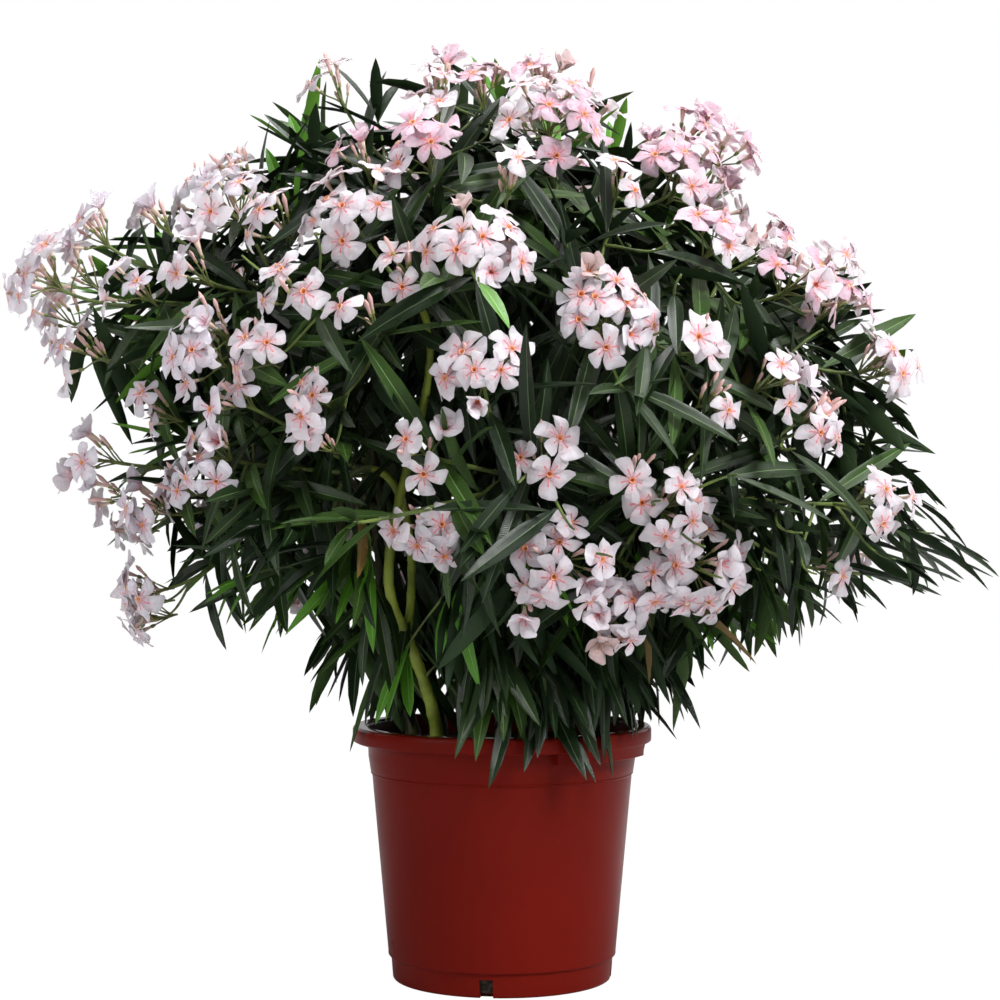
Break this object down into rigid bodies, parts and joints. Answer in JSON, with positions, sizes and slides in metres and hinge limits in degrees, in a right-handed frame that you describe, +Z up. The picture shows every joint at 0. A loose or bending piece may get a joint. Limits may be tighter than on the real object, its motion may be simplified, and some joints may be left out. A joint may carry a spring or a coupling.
{
  "type": "potted oleander",
  "caption": "Bushy evergreen patio shrub in flower, its stems forking from the compost of a round tapered plastic plant pot.",
  "frame": {"origin": "centre of the pot's flat underside, on the surface that the pot stands on", "axes": "+Z up along the pot's axis, -Y towards the front, +X to the right as seen from the front"},
  "size_m": [0.9492, 0.8037, 0.9061],
  "materials": {
    "pot_plastic": "satin moulded terracotta-red plastic",
    "compost": "loose dark moist potting compost with bits of bark",
    "bark": "smooth young bark, yellow-green turning brown",
    "foliage": "leathery dark green leaves with pale pink blossom"
  },
  "bodies": {
    "root": {"pot": "pot_plastic", "compost": "compost", "stem_outer_1": "bark", "stem_outer_2": "bark", "stem_outer_3": "bark", "stem_outer_4": "bark", "stem_outer_5": "bark", "stem_outer_6": "bark", "stem_outer_7": "bark", "stem_outer_8": "bark", "stem_inner_right": "bark", "stem_inner_left": "bark", "bough_low_front": "bark", "bough_low_front_right": "bark", "bough_low_right": "bark", "bough_low_back_right": "bark", "bough_low_back": "bark", "bough_low_back_left": "bark", "bough_low_left": "bark", "bough_low_front_left": "bark", "bough_middle_front": "bark", "bough_middle_right_front": "bark", "bough_middle_right": "bark", "bough_middle_back_right": "bark", "bough_middle_back": "bark", "bough_middle_left_back": "bark", "bough_middle_left": "bark", "bough_middle_left_front": "bark", "bough_high_right_front": "bark", "bough_high_right_back": "bark", "bough_high_back": "bark", "bough_high_left_back": "bark", "bough_high_left_front": "bark", "bough_top_centre": "bark", "foliage_low_front": "foliage", "foliage_low_front_right": "foliage", "foliage_low_right": "foliage", "foliage_low_back_right": "foliage", "foliage_low_back": "foliage", "foliage_low_back_left": "foliage", "foliage_low_left": "foliage", "foliage_low_front_left": "foliage", "foliage_middle_front": "foliage", "foliage_middle_right_front": "foliage", "foliage_middle_right": "foliage", "foliage_middle_back_right": "foliage", "foliage_middle_back": "foliage", "foliage_middle_left_back": "foliage", "foliage_middle_left": "foliage", "foliage_middle_left_front": "foliage", "foliage_high_right_front": "foliage", "foliage_high_right_back": "foliage", "foliage_high_back": "foliage", "foliage_high_left_back": "foliage", "foliage_high_left_front": "foliage", "foliage_top_centre": "foliage"}
  },
  "joints": []
}
